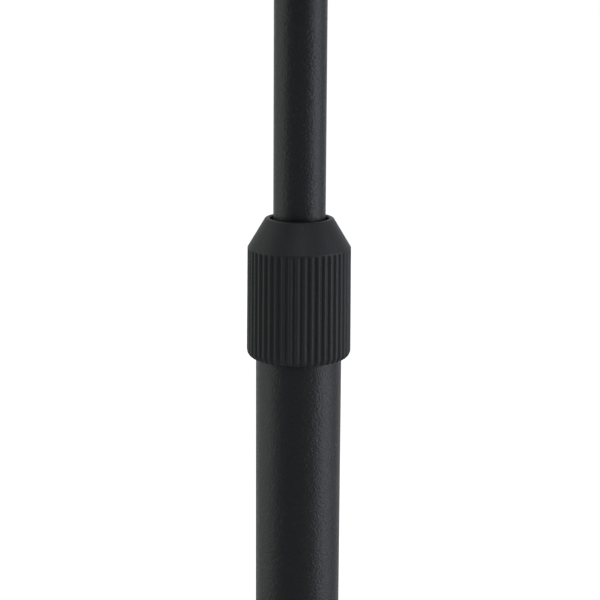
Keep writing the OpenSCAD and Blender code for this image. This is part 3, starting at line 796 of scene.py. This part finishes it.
# %% [markdown]
# ## The tripod's hubs
# A fixed hub at the column's foot carries the three braces, and a hub that slides on the column carries the three
# legs. Both are mouldings: a ring with round-ended lugs every 120 degrees. The ring is spun, each lug is a slab with
# eased edges, and all are welded into one skin.

# %% Places of the legs
pivot_r = Vector(joints["leg_fold"]["pos_m"]).xy.length
lower_z = joints["leg_fold"]["pos_m"][2]
upper_z = joints["slider_hinge"]["pos_m"][2]
bearings = [turn(90 + 120 * k, "Z") for k in range(3)]
print("pivots at radius and heights", [round(v * 1000, 1) for v in (pivot_r, lower_z, upper_z)])


def lug(end_r, thickness, soft):
    """A round-ended lug along X, from inside a hub's ring to its pivot."""
    start, end = column_r + 1.2 * mm, pivot_r + end_r
    shape = slab([(start, -end_r, 0), (end, -end_r, end_r), (end, end_r, end_r), (start, end_r, 0)], thickness,
                 arc=10)
    return ease(shape, soft)


# %% Lower hub
hub_low, hub_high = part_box("lower_hub")
hub_r = column_r + 5.6 * mm
lower_lug = dict(end_r=7 * mm, thickness=16.4 * mm, soft=1.3 * mm)


def lower_hub():
    ring = turned([(column_r, hub_low.z, 0.3 * mm), (hub_r, hub_low.z, 2.2 * mm), (hub_r, hub_high.z, 2.2 * mm),
                   (column_r, hub_high.z, 0.3 * mm)])
    lugs = [moved(lug(**lower_lug), bearing @ shift(z=lower_z)) for bearing in bearings]
    return welded(ring, *lugs)


piece("lower_hub_moulding", lower_hub(), hub_plastic, "column", "lower_hub")

# %% Sliding hub
slider_low, slider_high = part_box("slider_hub")
boss_end = -slider_low.y
boss_r = 9 * mm
upper_ear = dict(end_r=8 * mm, thickness=5 * mm, soft=0.9 * mm)
ear_mid = 8.7 * mm


def sliding_hub():
    bore, sleeve_r, boss_start = column_r + running_gap, column_r + 3.7 * mm, column_r + 2 * mm
    step = upper_z - 12 * mm
    body = turned([(bore, slider_low.z, 0.4 * mm), (sleeve_r, slider_low.z, 1.4 * mm),
                   (sleeve_r, step - 3 * mm, 2 * mm), (hub_r, step, 1.5 * mm), (hub_r, slider_high.z, 3 * mm),
                   (bore, slider_high.z, 0.6 * mm)])
    ears = [moved(lug(**upper_ear), bearing @ shift(y=side * ear_mid, z=upper_z))
            for bearing in bearings for side in (-1, 1)]
    boss = turned([(insert_r, boss_start, 0), (boss_r, boss_start, 0), (boss_r, boss_end, 1.2 * mm),
                   (insert_r, boss_end, 0.3 * mm)])
    return welded(body, *ears, moved(boss, shift(z=lock_z) @ along_front))


piece("sliding_hub_moulding", sliding_hub(), hub_plastic, "slider", "slider_hub")

# %% [markdown]
# ## Legs, braces and feet
# Each leg is a tube with a moulded knuckle in its top end and a rubber boot on its foot, and two flat bars brace it.
# They are built three times in the leg's own axes, with Z down the leg and Y along the pivots. Those axes come from
# the CAD joints: the top pivot, the bottom pivot and the rivet where leg and brace meet.

# %% The leg's own axes
leg_r = 8 * mm
leg_wall = 1.2 * mm
bar_t = 2.5 * mm
bar_half = 7 * mm
bar_gap = 0.3 * mm
eye_r = 7 * mm
eye_half = 6 * mm
neck_end = 14 * mm
stop_from, stop_to = 12 * mm, 16 * mm
boot_h = 34 * mm
boot_t = 2.6 * mm
ring_pitch = 5 * mm
ring_depth = 0.9 * mm
sole_r, sole_h, sole_back = 12 * mm, 10 * mm, 3 * mm
end_wall = 2 * mm


def leg_places(k):
    """Where leg k starts and points, the same for its brace, and how long the brace is."""
    bearing = bearings[k]
    top, bottom = bearing @ Vector((pivot_r, 0, upper_z)), bearing @ Vector((pivot_r, 0, lower_z))
    low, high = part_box(f"brace_rivet_{k + 1}")
    knee = (low + high) / 2
    hinge = bearing.to_3x3() @ Vector((0, 1, 0))

    def axes(start):
        down = (knee - start).normalized()
        return Matrix.Translation(start) @ Matrix((hinge.cross(down), hinge, down)).transposed().to_4x4()

    return axes(top), axes(bottom), (knee - bottom).length


# %% Knuckle, boot and brace bars
def knuckle():
    """An eye for the pivot pin, a square neck, and a round stop against the leg tube's end."""
    eye = turned([(0, -eye_half, 0), (eye_r, -eye_half, mm), (eye_r, eye_half, mm), (0, eye_half, 0)], steps=64)
    neck = slab([(-eye_half, 0, 0), (eye_half, 0, 0), (eye_half, neck_end, 0), (-eye_half, neck_end, 0)],
                2 * eye_half)
    stop = turned([(0, stop_from, 0), (leg_r, stop_from, 1.2 * mm), (leg_r, stop_to, 0.3 * mm), (0, stop_to, 0)],
                  steps=64)
    return welded(moved(eye, along_y), ease(neck, 1.2 * mm), stop)


def boot(leg_end):
    """A boot with three grip rings and a round end."""
    r, top, floor = leg_r + boot_t, leg_end - boot_h, leg_end - end_wall
    rings = []
    for k in range(3):
        low = top + 6 * mm + k * ring_pitch
        rings += [(r, low, 0.4 * mm), (r - ring_depth, low + 0.5 * mm, 0.2 * mm),
                  (r - ring_depth, low + 1.7 * mm, 0.2 * mm), (r, low + 2.2 * mm, 0.4 * mm)]
    return turned([(leg_r, top, 0.4 * mm), (r, top, 1.1 * mm), *rings, (r, leg_end + r, r * 0.999),
                   (0, leg_end + r, 0), (0, floor, 0), (leg_r, floor, 0)], steps=72, arc=6)


def sole():
    return turned([(0, 0, 0), (sole_r, 0, 1.2 * mm), (sole_r - 1.4 * mm, sole_h, 2.5 * mm), (0, sole_h, 0)],
                  steps=72)


def brace_bars(length):
    """Two flat bars that straddle the leg."""
    half, end = bar_half, length + bar_half
    bars = []
    for side in (-1, 1):
        bar = slab([(-half, -half, half), (half, -half, half), (half, end, half), (-half, end, half)], bar_t,
                   arc=10)
        bars.append(moved(ease(bar, 0.5 * mm), shift(y=side * (leg_r + bar_gap + bar_t / 2))))
    return together(*bars)


# %% Three legs
for k in range(3):
    leg, brace, brace_len = leg_places(k)
    number = str(k + 1)
    tube_low, tube_high = box_in(leg, "leg_tube_" + number)
    leg_end = tube_high.z + end_wall
    leg_shape = tube(tube_low.z, tube_high.z, leg_r, leg_wall, steps=72)
    piece("leg_" + number, moved(leg_shape, leg), tube_coat, "leg_" + number, "leg_tube_" + number,
          weighted=False)
    piece("knuckle_" + number, moved(knuckle(), leg), hub_plastic, "leg_" + number, "leg_knuckle_" + number)
    end_x = (bearings[k].inverted() @ (leg @ Vector((0, 0, leg_end)))).x
    rubber = welded(moved(boot(leg_end), leg), moved(sole(), bearings[k] @ shift(x=end_x - sole_back)))
    piece("boot_" + number, rubber, boot_rubber, "leg_" + number, "foot_" + number)
    piece("brace_" + number, moved(brace_bars(brace_len), brace), sheet_coat, "brace_" + number,
          "brace_bars_" + number)

# %% [markdown]
# ## Finishes on every CAD node
# The pieces that stay as the CAD model drew them, such as pins, washers and inserts, need a finish too. Each node's
# material slot in the record picks one from a table, and the nodes that a new piece replaces get theirs as well.

# %% Finishes on the CAD nodes
finishes = {
    "black_tube_enamel": tube_coat, "black_sheet_enamel": sheet_coat, "black_casting": cast_coat,
    "black_moulding": hub_plastic, "collar_plastic": grip_plastic, "knob_plastic": knob_plastic,
    "natural_nylon": nylon, "turned_alloy": alloy, "zinc_steel": zinc, "black_rivet": rivet_coat,
    "insert_brass": brass, "fibre_disc": fibre, "boot_rubber": boot_rubber,
}
for subpart in record["subparts"]:
    mesh = nodes[subpart["node"]].data
    mesh.materials.clear()
    mesh.materials.append(finishes[subpart["material_slot"]])
print("finishes on", len(record["subparts"]), "nodes")

# %% [markdown]
# ## Camera, floor and light
# The camera looks at the clutch from the player's side and a little above, with a long lens. A large soft box stands
# to either side, and two more hang above, one behind and one in front. The black tubes then show a broad streak on
# the right and a weaker one on the left, with a dark front between them and edges that catch the pale room behind.

# %% Camera
rise = math.radians(12.25)
distance = 0.640
aim = Vector((0.39 * mm, 0, column_high.z - 4.6 * mm))
camera_data = bpy.data.cameras.new("camera")
camera_data.lens = 103.5
camera_data.sensor_width = 36
camera_data.clip_end = 100
camera = bpy.data.objects.new("camera", camera_data)
bpy.context.scene.collection.objects.link(camera)
camera.location = aim + distance * Vector((0, -math.cos(rise), math.sin(rise)))
roll = Matrix.Rotation(math.radians(0.36), 4, "Z")
look = (aim - camera.location).to_track_quat("-Z", "Y").to_matrix().to_4x4()
camera.matrix_world = Matrix.Translation(camera.location) @ look @ roll
bpy.context.scene.camera = camera
print("camera", [round(v, 3) for v in camera.location])

# %% Soft lights
def soft_light(name, bearing, distance, height, size, watts, colour=(1, 1, 1), towards=0.75):
    """A large box light; the bearing is measured from the player's side towards the right."""
    data = bpy.data.lights.new(name, "AREA")
    data.shape = "RECTANGLE"
    data.size, data.size_y = size
    data.energy = watts
    data.color = colour
    lamp = bpy.data.objects.new(name, data)
    bpy.context.scene.collection.objects.link(lamp)
    angle = math.radians(bearing)
    lamp.location = (distance * math.sin(angle), -distance * math.cos(angle), height)
    lamp.rotation_euler = (Vector((0, 0, towards)) - lamp.location).to_track_quat("-Z", "Y").to_euler()
    lamp.visible_camera = False


soft_light("right box", 77, 1.6, 0.75, (1.2, 1.7), 13, (0.84, 0.89, 1.0))
soft_light("left box", -90, 1.6, 0.9, (1.4, 2.0), 7.6, (0.97, 1.0, 0.94))
soft_light("top box", 180, 0.4, 2.6, (1.6, 1.6), 12, towards=0.6)
soft_light("front top box", 5, 1.1, 2.3, (1.2, 0.8), 6, (0.92, 0.96, 1.0))


# %% [markdown]
# ## Room and floor
# Black paint shows little but what it reflects, so the room matters as much as the lights. The camera sees it white.
# Reflections see it dim in front, brighter behind and overhead. The floor is a plain pale sheet with a glow of its
# own, which keeps it as pale as the room however far off it is.

# %% Room
def studio_world():
    """White to the camera. For light and reflections: dim in front, brighter behind and overhead."""
    world = bpy.data.worlds.new("studio")
    world.use_nodes = True
    bpy.context.scene.world = world
    tree = world.node_tree
    tree.nodes.clear()
    out = node(tree, "ShaderNodeOutputWorld")
    background = node(tree, "ShaderNodeBackground")
    tree.links.new(background.outputs[0], out.inputs[0])
    direction = node(tree, "ShaderNodeSeparateXYZ")
    tree.links.new(node(tree, "ShaderNodeTexCoord").outputs["Generated"], direction.inputs[0])
    overhead = spread(tree, direction.outputs["Z"], 0.45, 0.8)
    behind = spread(tree, direction.outputs["Y"], 0.3, 1.0)
    room = tinted(tree, overhead, (0.085, 0.092, 0.105), (0.28, 0.29, 0.31))
    room = tinted(tree, behind, room, (0.85, 0.86, 0.88))
    seen = node(tree, "ShaderNodeLightPath").outputs["Is Camera Ray"]
    tree.links.new(tinted(tree, seen, room, (1.0, 1.0, 1.0)), background.inputs["Color"])


studio_world()
bpy.context.scene.view_settings.view_transform = "Standard"

# %% Floor
floor_bm = bmesh.new()
bmesh.ops.create_grid(floor_bm, x_segments=1, y_segments=1, size=15)
floor_mesh = bpy.data.meshes.new("floor")
floor_bm.to_mesh(floor_mesh)
floor_bm.free()
floor = bpy.data.objects.new("floor", floor_mesh)
bpy.context.scene.collection.objects.link(floor)
floor_paint, _, floor_shader = blank("pale floor")
floor_shader.inputs["Base Color"].default_value = (0.85, 0.85, 0.85, 1)
floor_shader.inputs["Roughness"].default_value = 0.9
floor_shader.inputs["Specular IOR Level"].default_value = 0.1
floor_shader.inputs["Emission Color"].default_value = (1, 1, 1, 1)
floor_shader.inputs["Emission Strength"].default_value = 0.78
floor_mesh.materials.append(floor_paint)
floor.visible_glossy = False
